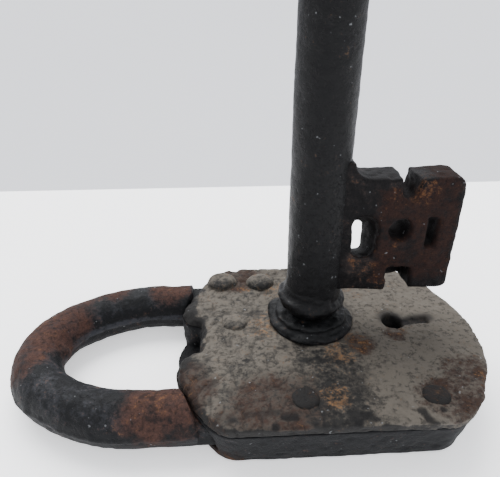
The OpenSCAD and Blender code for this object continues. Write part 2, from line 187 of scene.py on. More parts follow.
def cast_skin(distance, low, high, step):
    """Closed skin of a solid that is given by its distance function (negative inside), on a grid.
    Each grid cell that the surface passes through has one vertex, at the mean of the points where
    the surface cuts the cell's edges. Each grid edge that the surface cuts gets a quad, between the
    four cells round it, turned so that it faces out."""
    axes = [np.arange(low[i] - 1.5 * step, high[i] + 1.5 * step, step) for i in range(3)]
    grid = np.stack(np.meshgrid(*axes, indexing="ij"), -1)
    value = distance(grid)
    inside = value < 0
    cells = tuple(n - 1 for n in value.shape)
    total = np.zeros((*cells, 3))
    count = np.zeros(cells)

    def part(spans):
        """Index of a block of the grid. spans holds the start and stop along each axis it is cut on."""
        return tuple(slice(*spans.get(axis, (None,))) for axis in range(3))

    cuts = []
    for axis in range(3):
        a, b = part({axis: (None, -1)}), part({axis: (1, None)})
        cut = inside[a] != inside[b]
        share = value[a] / np.where(cut, value[a] - value[b], 1)
        point = grid[a].copy()
        point[..., axis] += share * step
        cuts.append((cut, inside[a]))
        first, second = [i for i in range(3) if i != axis]
        for u in (0, 1):
            for v in (0, 1):
                chosen = part({first: (u, u + cells[first]), second: (v, v + cells[second])})
                total += np.where(cut[chosen][..., None], point[chosen], 0)
                count += cut[chosen]
    used = count > 0
    number = np.cumsum(used).reshape(cells) - 1
    vertices = total[used] / count[used][:, None]
    quads = []
    for axis, (cut, out) in enumerate(cuts):
        u, v = [(1, 2), (2, 0), (0, 1)][axis]
        at = np.argwhere(cut)
        at = at[(at[:, u] > 0) & (at[:, v] > 0) & (at[:, u] < cells[u]) & (at[:, v] < cells[v])]
        ring = []
        for du, dv in ((-1, -1), (0, -1), (0, 0), (-1, 0)):
            cell = at.copy()
            cell[:, u] += du
            cell[:, v] += dv
            ring.append(number[tuple(cell.T)])
        ring = np.stack(ring, 1)
        quads.append(np.where(out[tuple(at.T)][:, None], ring, ring[:, ::-1]))
    return vertices, np.concatenate(quads)


def new_piece(name, vertices, faces, material, body, slot, *nodes, masks=None):
    """Puts a skin (millimetres) into the scene as a piece that rides on a body and stands for CAD
    nodes. masks are its painted wear and painted shade: one number per vertex for each name."""
    mesh = bpy.data.meshes.new(name)
    mesh.vertices.add(len(vertices))
    mesh.vertices.foreach_set("co", (np.asarray(vertices) * MM).astype(np.float32).ravel())
    faces = np.asarray(faces)
    mesh.loops.add(faces.size)
    mesh.loops.foreach_set("vertex_index", faces.astype(np.int32).ravel())
    mesh.polygons.add(len(faces))
    mesh.polygons.foreach_set("loop_start", np.arange(0, faces.size, faces.shape[1], dtype=np.int32))
    mesh.update(calc_edges=True)
    mesh.validate()
    mesh.polygons.foreach_set("use_smooth", np.ones(len(mesh.polygons), bool))
    for mask, values in (masks or {}).items():
        layer = mesh.attributes.new(mask, "FLOAT", "POINT")
        layer.data.foreach_set("value", np.clip(values, 0, 1).astype(np.float32))
    mesh.materials.append(material)
    piece = bpy.data.objects.new(name, mesh)
    scene.collection.objects.link(piece)
    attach(piece, body)
    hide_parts(*nodes)


def spots(p, *places):
    """How near each point is to any of the places (x, y, z, reach): 1 close by, 0 past the reach."""
    near = 0
    for x, y, z, reach in places:
        away = np.linalg.norm((p - (x, y, z)), axis=-1)
        near = np.maximum(near, 1 - ramp(away, 0.35 * reach, reach))
    return near


shell_low, shell_high = box_mm("case_shell")
face_low, face_high = box_mm("face_plate")
CASE_H = face_high[2]
HALF_W = face_high[1]
END_R = 55.0
END_X = face_high[0] - END_R
LEAN = 4.5
SEAM_Z = shell_high[2]
SEAM_GAP = 0.1
BACK_T = 2.5
WALL_T = 3.0
HOLLOW_HALF_W = 36.7
HOLLOW_END_R = 48.0
NOTCH_X = -16.65
LOBE = np.array([-15.75, 15.5])
CORNER = np.array([-8.25, HALF_W - 8])
LOBE_R = 8.0
LIP = (-5.0, 1.5, 20.0)
LIP_H = 5.0
HEEL_PIN = box_mm("heel_pin").mean(0)[:2]
EYE_R = 8.0
WAY_Z = (4.2, 13.3)  # floor and roof of the ways that the shackle's ends move in
WAY_GAP = 0.4
WAY_PAST_TOE = 4.0
TOE_Y = (-36.4, -22.0)
TOE_TIP_X = -2.25
KEY_AT = box_mm("key_shank").mean(0)[:2]
PIVOT_R = 2.55
PIVOT_FLOOR_Z = 0.8


def outline(x, y, lean, inset=0.0):
    """Distance to the outline of the case: straight sides, a round end, and on the shackle side a
    lobe beside each leg, a leaning shoulder and a round corner."""
    side = np.abs(y)
    share = np.clip((side - LOBE[1]) / (CORNER[1] - LOBE[1]), 0, 1)
    shoulder_x = LOBE[0] + share * (CORNER[0] - LOBE[0])
    left = np.where(side < LOBE[1] - 3, NOTCH_X, shoulder_x)
    along = CORNER - LOBE
    t = np.clip(((x - LOBE[0]) * along[0] + (side - LOBE[1]) * along[1]) / (along @ along), 0, 1)
    shoulder = np.hypot(x - LOBE[0] - t * along[0], side - LOBE[1] - t * along[1]) - LOBE_R
    d = round_min(left - x, shoulder, 1.5)
    d = round_max(d, side - HALF_W + lean, 2.0)
    d = round_max(d, np.hypot(x - END_X, y) - END_R + lean, 2.5)
    return d + inset


def iron_grain(p, coarse, fine, seed):
    """Height of a sand-cast skin: broad swells, a finer grit and scattered pits."""
    swell = lumps(p, 9.0, seed) * coarse + lumps(p, 4.1, seed + 1) * coarse * 0.5
    grit = lumps(p, 1.9, seed + 2) * fine
    pits = ramp(lumps(p, 2.3, seed + 3), 0.35, 0.8) * fine * 2.2
    return swell + grit - pits


def near_skin(d, p, height, reach=1.6):
    """Moves a surface out by a height, which is worked out only for the points within reach."""
    close = np.abs(d) < reach
    d[close] -= height(p[close])
    return d


def shell_distance(p):
    """Distance to the lower half: the leaning outline and the lip, rounded at the floor and flat at
    the seam, less the hollow, the ways for the shackle's heel and toe and the rotor's socket."""
    x, y, z = p[..., 0], p[..., 1], p[..., 2]
    lean = LEAN * (1 - z / CASE_H)
    outer = outline(x, y, lean)
    lip = np.maximum(np.hypot(x - LIP[0], y - LIP[1]) - LIP[2], z - LIP_H)
    d = round_min(outer, lip, 1.0)
    d = round_max(d, 0.15 - z, 1.6)
    d = near_skin(d, p, lambda q: iron_grain(q, 0.14, 0.12, 11) - 0.18)
    d = np.maximum(d, z - SEAM_Z + SEAM_GAP)
    hollow = outline(x, y, 0.0, WALL_T)
    hollow = np.maximum(hollow, np.maximum(np.abs(y) - HOLLOW_HALF_W, BACK_T - z))
    hollow = np.maximum(hollow, np.hypot(x - END_X, y) - HOLLOW_END_R)
    heel = np.maximum(HEEL_PIN[1] - EYE_R - WAY_GAP - y, x - HEEL_PIN[0] - EYE_R - WAY_GAP)
    toe = np.maximum(np.maximum(TOE_Y[0] - y, y - LIP[1]), x - TOE_TIP_X - WAY_PAST_TOE)
    swing_r = HEEL_PIN[1] - TOE_Y[1] - WAY_GAP
    toe = np.maximum(toe, swing_r - np.hypot(x - HEEL_PIN[0], y - HEEL_PIN[1]))
    ways = np.maximum(np.minimum(heel, toe), np.maximum(WAY_Z[0] - z, z - WAY_Z[1]))
    socket = np.maximum(np.hypot(x - KEY_AT[0], y - KEY_AT[1]) - PIVOT_R, PIVOT_FLOOR_Z - z)
    d = np.maximum(d, -np.minimum(np.minimum(hollow, ways), socket))
    return np.maximum(d, 0.03 - z)


def iron_material(name, base, light, rust, ochre, rough, shine):
    """Cast iron under worn paint, which the eye reads as old and rough: a mottle of two tones where
    the paint has thinned (worn), blotchy brown rust and crumbs of ochre rust where the masks ask
    for them, small dark pits, painted shade where the pit mask asks for it (in the blind keyhole
    and its slot, in the bit's openings and on the front of the rivet heads), a few pale nicks, and
    a dull sheen that the rust kills."""
    material, tree = new_material(name)
    place = put(tree, "ShaderNodeTexCoord", out="Object")
    # Sizes are those of the stains, the lumps, the sand and the pits. Casting sand is finer than this
    # grit, which is drawn coarse enough to show.
    blotch, grain, grit, holes = [
        put(tree, "ShaderNodeTexNoise", {"Vector": place, "Scale": 1 / (size_mm * MM), "Detail": detail,
                                         "Roughness": harshness}, out="Fac")
        for size_mm, detail, harshness in ((8, 6.0, 0.7), (1.9, 6.0, 0.75), (0.6, 3.0, 0.6), (1.6, 4.0, 0.7))]
    flecks = put(tree, "ShaderNodeTexNoise", {
        "Vector": place, "Scale": 1 / (1.3 * MM), "Detail": 1.0, "W": 3.0},
        noise_dimensions="4D", out="Fac")

    # Each mask has a ragged edge, from the grain and the blotches, and the ochre one from the grit too.
    patchy = put(tree, "ShaderNodeMath", {0: blotch, 1: 1.6, 2: -0.8}, operation="MULTIPLY_ADD", out=0)
    crumbly = put(tree, "ShaderNodeMath", {0: grit, 1: 1.2, 2: -0.6}, operation="MULTIPLY_ADD", out=0)
    masks = {}
    for mask, spread, others in (("worn", 1.5, [patchy]), ("rust", 1.3, [patchy]),
                                 ("ochre", 1.9, [patchy, crumbly])):
        total = put(tree, "ShaderNodeAttribute", attribute_name=mask, out="Fac")
        ragged = put(tree, "ShaderNodeMath", {0: grain, 1: spread, 2: -spread / 2},
                     operation="MULTIPLY_ADD", out=0)
        for other in (ragged, *others):
            total = put(tree, "ShaderNodeMath", {0: total, 1: other}, operation="ADD", out=0)
        masks[mask] = put(tree, "ShaderNodeMapRange", {"Value": total, "From Min": 0.25, "From Max": 0.85},
                          interpolation_type="SMOOTHSTEP", out=0)

    tone = put(tree, "ShaderNodeMix", {0: masks["worn"], 6: linear(base), 7: linear(light)},
               data_type="RGBA", out=2)
    rusty = put(tree, "ShaderNodeMix", {0: grit, 6: linear(rust), 7: linear(base)},
                data_type="RGBA", out=2)
    tone = put(tree, "ShaderNodeMix", {0: masks["rust"], 6: tone, 7: rusty}, data_type="RGBA", out=2)
    crumbs = put(tree, "ShaderNodeMath", {0: masks["ochre"], 1: 0.8}, operation="MULTIPLY", out=0)
    tone = put(tree, "ShaderNodeMix", {0: crumbs, 6: tone, 7: linear(ochre)}, data_type="RGBA", out=2)
    floor = put(tree, "ShaderNodeMapRange", {"Value": holes, "From Min": 0.36, "From Max": 0.5},
                interpolation_type="SMOOTHSTEP", out=0)
    # Painted shade: the pit mask darkens the real pits. It also darkens the blind keyhole and its slot, the
    # inner walls of the bit's openings and the front side of the rivet heads, where shade falls.
    painted_shade_and_pits = put(tree, "ShaderNodeAttribute", attribute_name="pit_and_painted_shade", out="Fac")
    dark_pits_and_painted_shade = put(tree, "ShaderNodeMath", {0: floor, 1: -0.55, 2: 0.55}, operation="MULTIPLY_ADD", out=0)
    dark_pits_and_painted_shade = put(tree, "ShaderNodeMath", {0: dark_pits_and_painted_shade, 1: painted_shade_and_pits}, operation="MAXIMUM", out=0)
    tone = put(tree, "ShaderNodeMix", {0: dark_pits_and_painted_shade, 6: tone, 7: linear("#0f0e0f")}, data_type="RGBA", out=2)
    nicks = put(tree, "ShaderNodeMapRange", {"Value": flecks, "From Min": 0.73, "From Max": 0.77,
                                             "To Max": 0.55}, out=0)
    tone = put(tree, "ShaderNodeMix", {0: nicks, 6: tone, 7: linear("#707274")}, data_type="RGBA", out=2)

    height = put(tree, "ShaderNodeMath", {0: floor, 1: grit}, operation="ADD", out=0)
    height = put(tree, "ShaderNodeMath", {0: height, 1: grain}, operation="ADD", out=0)
    normal = put(tree, "ShaderNodeBump", {"Height": height, "Strength": 0.6, "Distance": 0.22 * MM}, out=0)
    dull = put(tree, "ShaderNodeMapRange", {"Value": masks["rust"], "To Min": rough, "To Max": 0.9}, out=0)
    shader = put(tree, "ShaderNodeBsdfPrincipled", {
        "Base Color": tone, "Roughness": dull, "Normal": normal, "Specular IOR Level": shine}, out="BSDF")
    put(tree, "ShaderNodeOutputMaterial", {"Surface": shader})
    return material


black_casting = iron_material(
    "black_painted_cast_iron", "#0a0b0d", "#232428", "#2f1f18", "#5f4028", 0.65, shine=0.13)
vertices, faces = cast_skin(shell_distance, shell_low, shell_high, 0.6)
new_piece("case_shell_casting", vertices, faces, black_casting, "case", "case_iron", "case_shell", masks={
    "worn": np.full(len(vertices), 0.2),
    "rust": 0.7 * spots(vertices, (-19, -24, 12, 16), (68, -36, 13, 12), (-10, -38, 0, 12)),
    "ochre": 0.4 * spots(vertices, (-8, -38, 0, 7), (69, -34, 13, 6)),
    "pit_and_painted_shade": np.zeros(len(vertices)),
})

# ---------------------------------------------------------------- face plate
# The upper half of the case, cast with a blind keyhole and a shallow slot beside it. Its paint is
# gone, and the bare iron is grey and coarsely pitted, with rust round the key and at the edges.
KEYHOLE = (52.55, 3.1)
KEYHOLE_R = 4.0
KEYHOLE_FLOOR = 9.5
SLOT_END_X = 65.4
SLOT_HALF_W = 1.7
SLOT_DEPTH = 2.2
CUP_WALL = 2.0  # iron left round the blind keyhole, and under it
CUP_FLOOR = 1.5
SKIN_DROP = 0.25  # how far a surface is drawn in before its lumps are added
BUSH_R = 8.55
PIT_SIZE = 3.4
PIT_SEED = 41
PAINT_TOP_Z = 17.6


def face_grain(p):
    """Skin of the face: coarse worm-eaten pits at the left and middle, fine slanting ripples at
    the right, and a soft hollow round the keyhole."""
    x, y = p[:, 0], p[:, 1]
    left = 1 - ramp(x, 20, 55)
    height = iron_grain(p, 0.28, 0.16, 31)
    worms = ramp(np.abs(lumps(p, PIT_SIZE, PIT_SEED)), 0.0, 0.28)
    height = height - (1 - worms) * left * 0.3
    ripple = np.sin((x * 0.8 + y * 0.6) * 4.2 + 2 * lumps(p, 6.0, 42))
    height = height + ripple * (1 - left) * 0.09
    dish = np.exp(-(((x - KEYHOLE[0] - 3) / 9) ** 2 + ((y - KEYHOLE[1] - 3) / 5) ** 2))
    return height - 0.9 * dish


def plate_distance(p):
    """Distance to the upper half: the leaning outline under a rounded top edge, flat at the seam,
    with a cup below it for the keyhole, less the keyhole, its slot and the bush's bore."""
    x, y, z = p[..., 0], p[..., 1], p[..., 2]
    lean = LEAN * (1 - z / CASE_H)
    d = outline(x, y, lean)
    edge = 3.0 + 3.0 * (1 - ramp(x, -14, -4)) - 1.4 * ramp(-y, 28, 38) * ramp(x, -14, -4)
    d = round_max(d, z - CASE_H + SKIN_DROP, edge)
    d = near_skin(d, p, face_grain)
    d = np.maximum(d, SEAM_Z + SEAM_GAP - z)
    from_hole = np.hypot(x - KEYHOLE[0], y - KEYHOLE[1]) - KEYHOLE_R
    cup = np.maximum(from_hole - CUP_WALL, KEYHOLE_FLOOR - CUP_FLOOR - z)
    cup = np.maximum(cup, z - SEAM_Z - 1)
    d = np.minimum(d, cup)
    ragged = lumps(p, 2.6, 45) * 0.35
    hole = np.maximum(from_hole + ragged, KEYHOLE_FLOOR - z)
    slot_middle, slot_half = (SLOT_END_X + KEYHOLE[0]) / 2, (SLOT_END_X - KEYHOLE[0]) / 2
    slot = np.maximum(np.abs(y - KEYHOLE[1]) - SLOT_HALF_W + ragged, np.abs(x - slot_middle) - slot_half)
    slot = round_max(slot, CASE_H - SLOT_DEPTH - z, 1.2)
    d = round_max(d, -round_min(hole, slot, 0.8), 0.9)
    return np.maximum(d, BUSH_R - np.hypot(x - KEY_AT[0], y - KEY_AT[1]))


bare_casting = iron_material(
    "bare_pitted_cast_iron", "#1c1b1a", "#514c45", "#3a2820", "#6f5032", 0.8, shine=0.18)
RUST_PLACES = ((-17, -26, 15, 13), (68, -30, 17, 20), (-5, 39, 18, 20), (57, -34, 19, 15), (51, -4, 18, 7),
               (38, -9, 19, 9), (-2, 30, 18, 10), (-18, -20, 18, 9), (5, -36, 19, 24))
OCHRE_PLACES = ((6, 3, 19, 11), (13, 25, 19, 9), (37, -8, 19, 8), (52, -2, 18, 6), (30, -13, 19, 9),
                (24, -32, 19, 7), (70, -27, 15, 7), (-17, -23, 13, 8), (1, 27, 19, 5), (60, 24, 19, 5),
                (40, 28, 19, 6))
vertices, faces = cast_skin(plate_distance, face_low, face_high, 0.55)
x, y, z = vertices.T
charred = ramp(x, 8, 24) * (1 - ramp(x, 28, 42)) * (1 - ramp(y, -18, -6))
wormy = (1 - ramp(np.abs(lumps(vertices, PIT_SIZE, PIT_SEED)), 0.0, 0.13)) * (1 - ramp(x, 20, 55))
down_left = ramp(-16 - x, 0, 5) * ramp(y, -22, -12)
side = ramp(PAINT_TOP_Z - z + 0.5 * lumps(vertices, 3.0, 46), -0.3, 0.5)
from_slot = np.hypot(x - np.clip(x, KEYHOLE[0], SLOT_END_X), y - KEYHOLE[1] - 1)
# Painted shade: the blind keyhole and the slot beside it are darkened through the pit mask, to stand for the
# shade deep inside them.
painted_keyhole_shade = np.maximum((1 - ramp(np.hypot(x - KEYHOLE[0], y - KEYHOLE[1] - 1.5), 3, 7)) * 0.85,
                    (1 - ramp(from_slot, 0.8, 3.8)) * 0.75)
seam_pits = 0.9 * ramp(lumps(vertices, 2.8, 47), 0.25, 0.5) * ramp(-y, 36, 39) * (1 - side)
new_piece("face_plate_casting", vertices, faces, bare_casting, "case", "face_iron", "face_plate", masks={
    "worn": 0.72 + 0.3 * ramp(x, 30, 50) - 0.4 * charred - 0.6 * down_left - 0.6 * side,
    "rust": np.maximum(0.7 * spots(vertices, *RUST_PLACES), 0.1) * (1 - 0.9 * side * (x > -8) * (x < 64)),
    "ochre": 0.34 * (1 - side) * spots(vertices, *OCHRE_PLACES),
    "pit_and_painted_shade": np.maximum(np.maximum(0.6 * wormy, painted_keyhole_shade), seam_pits),
})

# ---------------------------------------------------------------- rivets
# Iron rivets, hammered over on the face: two raised domed heads at the hinge side, a low disc in
# the middle, and three shallow ones at the edges. Their shanks run down into the back.


def ring_skin(rings, loop=False):
    """Closed skin over an array of rings (ring, point round it, xyz), neighbours joined by pairs of
    triangles. With loop the last ring meets the first, otherwise the first and last rings are each
    drawn together into a point. It is turned inside out if its volume comes out negative."""
    count, around = rings.shape[:2]
    number = np.arange(count * around).reshape(count, around)
    if not loop:
        number[0] = number[0, 0]
        number[-1] = number[-1, 0]
    used, number = np.unique(number, return_inverse=True)
    number = number.reshape(count, around)
    vertices = rings.reshape(-1, 3)[used]
    if loop:
        number = np.concatenate([number, number[:1]])
    number = np.concatenate([number, number[:, :1]], 1)
    a, b, c, d = number[:-1, :-1], number[:-1, 1:], number[1:, 1:], number[1:, :-1]
    faces = np.concatenate([np.stack([a, b, c], -1), np.stack([a, c, d], -1)]).reshape(-1, 3)
    whole = (faces[:, 0] != faces[:, 1]) & (faces[:, 1] != faces[:, 2]) & (faces[:, 2] != faces[:, 0])
    faces = faces[whole]
    p, q, r = (vertices[faces[:, i]] for i in range(3))
    if np.einsum("ij,ij->", p, np.cross(q, r)) < 0:
        faces = faces[:, ::-1]
    return vertices, faces


def turned(profile, at, step, ease, height, loop=False):
    """Skin of a round piece about a vertical axis at (x, y). The profile (radius, z) is cut into
    even steps and its corners are eased by averaging over a length ease. Each point then moves
    outwards, square to the skin, by height(points)."""
    profile = np.array(profile, float)
    if loop:
        profile = np.concatenate([profile, profile[:1]])
    length = np.concatenate([[0], np.cumsum(np.hypot(*np.diff(profile, axis=0).T))])
    even = np.linspace(0, length[-1], max(int(length[-1] / step), 8))
    if loop:
        even = even[:-1]
    line = np.stack([np.interp(even, length, profile[:, i]) for i in (0, 1)], 1)
    reach = int(ease / step)
    mode = "wrap" if loop else "edge"
    padded = np.pad(line, ((reach, reach), (0, 0)), mode=mode)
    eased = np.mean([padded[i:i + len(line)] for i in range(2 * reach + 1)], 0)
    if not loop:
        eased[[0, -1]] = line[[0, -1]]
    before, after = (np.roll(eased, 1, 0), np.roll(eased, -1, 0)) if loop else (
        np.concatenate([eased[:1], eased[:-1]]), np.concatenate([eased[1:], eased[-1:]]))
    along = after - before
    along /= np.maximum(np.hypot(*along.T), 1e-9)[:, None]
    around = int(2 * np.pi * profile[:, 0].max() / step) // 2 * 2
    turn = np.linspace(0, 2 * np.pi, around, endpoint=False)
    circle = np.stack([np.cos(turn), np.sin(turn)], -1)

    def spin(radius, z, axis):
        """Carries each (radius, z) round an axis, as one ring."""
        flat = radius[:, None, None] * circle + axis
        return np.concatenate([flat, np.broadcast_to(z[:, None, None], (*flat.shape[:2], 1))], 2)

    points = spin(*eased.T, at)
    inward = spin(-along[:, 1], along[:, 0], (0, 0))
    vertices = points - inward * height(points)[..., None]
    return ring_skin(vertices, loop)


def gather(*skins):
    """Several skins as one."""
    starts = np.cumsum([0] + [len(v) for v, _ in skins])
    return (np.concatenate([v for v, _ in skins]),
            np.concatenate([f + start for (_, f), start in zip(skins, starts)]))


def rivet(at, shank_r, head_r, head_h, seed, wobble):
    """Shank, flat tail and a hammered head that slopes to the face at its rim."""
    top = CASE_H + head_h - 0.12
    profile = [(0, 0.35), (shank_r, 0.35), (shank_r, CASE_H - 1.2), (head_r - 0.2, CASE_H - 1.2),
               (head_r - 0.1, CASE_H - 0.1), (head_r * 0.86, CASE_H + 0.55 * head_h),
               (head_r * 0.6, CASE_H + 0.9 * head_h), (0, top)]

    def height(p):
        return wobble * lumps(p, 2.6, seed) * ramp(p[..., 2], CASE_H - 1, CASE_H)

    return turned(profile, at, 0.35, 0.7, height)


def rivet_masks(v, worn, rust, ochre):
    """Worn on top, with painted shade on the side of the head that faces the front: less of the worn
    tone there, and more of the pit mask.
    """
    front = ramp(-(v[:, 1] - v[:, 1].mean()), 0, 5) * ramp(v[:, 2], CASE_H - 0.5, CASE_H + 0.5)
    return {"worn": worn - 0.35 * front, "rust": np.full(len(v), rust), "ochre": np.full(len(v), ochre),
            "pit_and_painted_shade": 0.45 * front * np.clip(CASE_H + 1.4 - v[:, 2], 0, 1)}


RIVETS = (  # node, places, shank radius, head radius, head height, lumps on the head, worn, rust
    ("heel_pin", [HEEL_PIN], 3.45, 6.0, 2.4, 0.3, 0.7, 0.2),
    ("shoulder_rivet", [(6.75, 30.5)], 2.15, 5.7, 2.2, 0.3, 0.7, 0.15),
    ("centre_rivet", [(-4.05, 4.6)], 2.15, 4.7, 1.1, 0.2, 0.75, 0.1),
    ("edge_rivets", [(15.35, -32.4), (53.65, -33.4), (53.75, 33.4)], 2.15, 4.3, 0.8, 0.25, 0.5, 0.4),
)
for seed, (node, places, shank_r, head_r, head_h, wobble, worn, rust) in enumerate(RIVETS, 60):
    skins = [rivet(at, shank_r, head_r, head_h, seed + i, wobble) for i, at in enumerate(places)]
    vertices, faces = gather(*skins)
    new_piece(node + "_hammered", vertices, faces, bare_casting, "case", "face_iron", node,
              masks=rivet_masks(vertices, worn, rust, 0.1))

# ---------------------------------------------------------------- key bush
# The rough black cone that the key stands in: a cast flange with a slumped rim, a lobe at the left
# rear, and a smooth bore through it down to the rotor.
bush_low, bush_high = box_mm("key_bush")
BORE_R = 6.22


def bush_height(p):
    """Lumps outside the bore and above the face, and a smooth swelling at the left rear."""
    x, y, z = p[..., 0] - KEY_AT[0], p[..., 1] - KEY_AT[1], p[..., 2]
    radius = np.hypot(x, y)
    skin = ramp(radius, BORE_R + 1.5, BORE_R + 4) * ramp(z, CASE_H - 0.5, CASE_H + 0.5)
    lobe = 1.8 * np.exp(-(((x + 12) / 3.5) ** 2 + ((y - 7) / 4) ** 2))
    lobe = lobe * (1 - ramp(z, CASE_H + 1, bush_high[2]))
    return skin * (0.85 * lumps(p, 4.6, 71) + 0.35 * lumps(p, 1.7, 72) + lobe - 0.45)


black_paint = iron_material(
    "chipped_black_paint_on_iron", "#08090a", "#1b1c1f", "#2f1f18", "#5c4126", 0.5, shine=0.14)
vertices, faces = turned(
    [(BORE_R, bush_low[2] + 0.1), (BUSH_R, bush_low[2] + 0.1), (BUSH_R, CASE_H - 0.6), (14.6, CASE_H - 0.4),
     (15.2, CASE_H + 0.9), (14.0, CASE_H + 2.3), (12.6, CASE_H + 2.9), (13.0, CASE_H + 3.6),
     (12.2, CASE_H + 4.7), (10.6, bush_high[2]), (BORE_R, bush_high[2])],
    KEY_AT, 0.45, 0.5, bush_height, loop=True)
low_rim = 1 - ramp(vertices[:, 2], CASE_H, CASE_H + 2)
new_piece("key_bush_casting", vertices, faces, black_paint, "case", "black_iron", "key_bush", masks={
    "worn": 0.25 + 0.2 * low_rim, "rust": 0.3 * low_rim, "ochre": 0.12 * low_rim,
    "pit_and_painted_shade": np.zeros(len(vertices))})

# ---------------------------------------------------------------- shackle
# A round bar cast as a U, with the ridge of its mould left round its middle. Inside the case it is
# flat: an eye round the hinge pin at the rear, and a notched toe at the front.
SHACKLE_LOW, SHACKLE_HIGH = box_mm("shackle_bar")
LEG_Y = 29.0
BAR_R = 8.5
BAR_Z = 9.7
SIDE_R = 48.0
SIDE_TURN = np.radians(37.7)
APEX_Y = LEG_Y - SIDE_R * (1 - np.cos(SIDE_TURN))
APEX_R = APEX_Y / np.cos(SIDE_TURN)
BEND_X = SHACKLE_LOW[0] + BAR_R + APEX_R + (SIDE_R - APEX_R) * np.sin(SIDE_TURN)
APEX_X = BEND_X - (SIDE_R - APEX_R) * np.sin(SIDE_TURN)
FLAT_Z = (5.0, 13.0)
BUSH_OUT_R = 4.72
HEEL_X = HEEL_PIN[0] - (HALF_W - HEEL_PIN[1]) - WAY_GAP
TOE_NOTCH = (-7.75, 6.8, 6.2)  # middle x, width, depth
LOOP_X = -38  # middle and reach of the space inside the loop
LOOP_R = 27


def slab(value, low, high):
    """Distance to the space between two parallel planes."""
    return np.maximum(low - value, value - high)


def shackle_distance(p):
    """Distance to the shackle: a round bar along two straight legs, two wide bends and a tighter
    one, with its mould ridge and a tooth inside the bend, cut clear of the case. The flat eye and
    toe join it inside, less the bolt's notch and the bush's bore."""
    x, y, z = p[..., 0], p[..., 1], p[..., 2]
    side = np.abs(y)
    leg = side - LEG_Y
    centre_y = LEG_Y - SIDE_R
    turn = np.arctan2(BEND_X - x, side - centre_y)
    arc = np.hypot(x - BEND_X, side - centre_y) - SIDE_R
    apex = np.hypot(x - APEX_X, y) - APEX_R
    across = np.where(x > BEND_X, leg, np.where(turn < SIDE_TURN, arc, apex))
    d = np.hypot(across, z - BAR_Z) - BAR_R
    ridge = 0.4 * np.exp(-((z - BAR_Z + 0.4 * lumps(p, 9, 81)) / 0.7) ** 2)
    tooth = 2.4 * np.exp(-((x - APEX_X + APEX_R - BAR_R) / 2.4) ** 2 - ((y - 1) / 1.5) ** 2
                         - ((z - BAR_Z - 1) / 2.2) ** 2)
    d = d - ridge - tooth + SKIN_DROP
    d = near_skin(d, p, lambda q: iron_grain(q, 0.3, 0.12, 82))
    lean_out = -outline(x, y, 0.0) + 0.45
    d = round_max(d, lean_out, 1.2)
    d = np.maximum(d, x - TOE_TIP_X)
    rear = np.maximum(np.maximum(HEEL_X - x, LEG_Y - 1 - y), x - 20)
    d = np.maximum(d, -rear)
    eye = np.hypot(x - HEEL_PIN[0], y - HEEL_PIN[1])
    heel = np.maximum(slab(x, HEEL_X - 6, HEEL_PIN[0]), slab(y, HEEL_PIN[1] - EYE_R, LEG_Y + 8))
    heel = np.minimum(heel, eye - EYE_R)
    toe = np.maximum(slab(x, BEND_X + 6, TOE_TIP_X), slab(y, TOE_Y[0] + WAY_GAP, TOE_Y[1]))
    flats = round_max(np.minimum(heel, toe), slab(z, *FLAT_Z), 0.5)
    d = np.minimum(d, flats)
    notch = np.maximum(np.abs(x - TOE_NOTCH[0]) - TOE_NOTCH[1] / 2, TOE_Y[1] - TOE_NOTCH[2] - y)
    notch = np.maximum(notch, y)
    return np.maximum(d, -np.minimum(notch, eye - BUSH_OUT_R))


slate_paint = iron_material(
    "worn_slate_paint_on_iron", "#0a0b0d", "#2b2c30", "#503830", "#6b4a32", 0.6, shine=0.13)
vertices, faces = cast_skin(shackle_distance, SHACKLE_LOW, SHACKLE_HIGH, 0.6)
x, y, z = vertices.T
upper = ramp(z, BAR_Z + 1, BAR_Z + 6)
inner = np.hypot(x - LOOP_X, y) < LOOP_R
ridge = np.exp(-((z - BAR_Z - 0.3) / 0.9) ** 2) * inner * ramp(y, -5, 5)
ridge = ridge + 0.3 * np.exp(-((z - BAR_Z) / 1.6) ** 2)
new_piece("shackle_bar_casting", vertices, faces, slate_paint, "shackle", "black_iron", "shackle_bar", masks={
    "worn": 0.1 + 0.3 * upper + 0.8 * ridge + 0.25 * spots(vertices, (-72, 8, 18, 26)),
    "rust": 0.75 * spots(vertices, (-72, 5, 18, 22), (-67, 20, 18, 17), (-76, -8, 17, 16), (-64, 12, 18, 14),
                         (-52, 31, 18, 13), (-29, 30, 18, 13), (-27, -29, 16, 19), (-22, -27, 13, 14)),
    "ochre": 0.2 * spots(vertices, (-72, 12, 17, 11), (-28, -31, 17, 10), (-24, -29, 12, 9), (-38, 20, 9, 7)),
    "pit_and_painted_shade": np.zeros(len(vertices))})

# ---------------------------------------------------------------- key shank, bead and ferrule
# The shank is a cast round bar under black paint, not quite even. Its foot flares into a pinched
# bead with a sharp lip on one side, and a ring below the bow covers the joint at the top.
shank_low, shank_high = box_mm("key_shank")
SHANK_R = shank_high[0] - KEY_AT[0]
bead_low, bead_high = box_mm("key_collar")
ferrule_low, ferrule_high = box_mm("bow_ferrule")


def shank_height(p):
    """Long swells, lumps and grit, which fade out at the foot."""
    clear = ramp(p[..., 2], shank_low[2] + 0.3, shank_low[2] + 2.5)
    return clear * (0.18 * lumps(p, 11, 91) + 0.1 * lumps(p, 3, 92) + 0.06 * lumps(p, 1.4, 93) - 0.06)


def bead_height(p):
    """Lumps outside the shank, with a sharp lip at the left and a pinch at the right front."""
    x, y, z = p[..., 0] - KEY_AT[0], p[..., 1] - KEY_AT[1], p[..., 2]
    outside = ramp(np.hypot(x, y), SHANK_R - 0.4, SHANK_R + 0.5)
    lip = 1.3 * np.exp(-(((x + 9) / 4) ** 2 + ((z - bead_high[2] + 1.2) / 1.2) ** 2))
    pinch = -0.8 * np.exp(-(((x - 8) / 4) ** 2 + ((y + 6) / 4) ** 2))
    return outside * (0.5 * lumps(p, 5.0, 94) + 0.22 * lumps(p, 1.6, 95) + lip + pinch - 0.1)


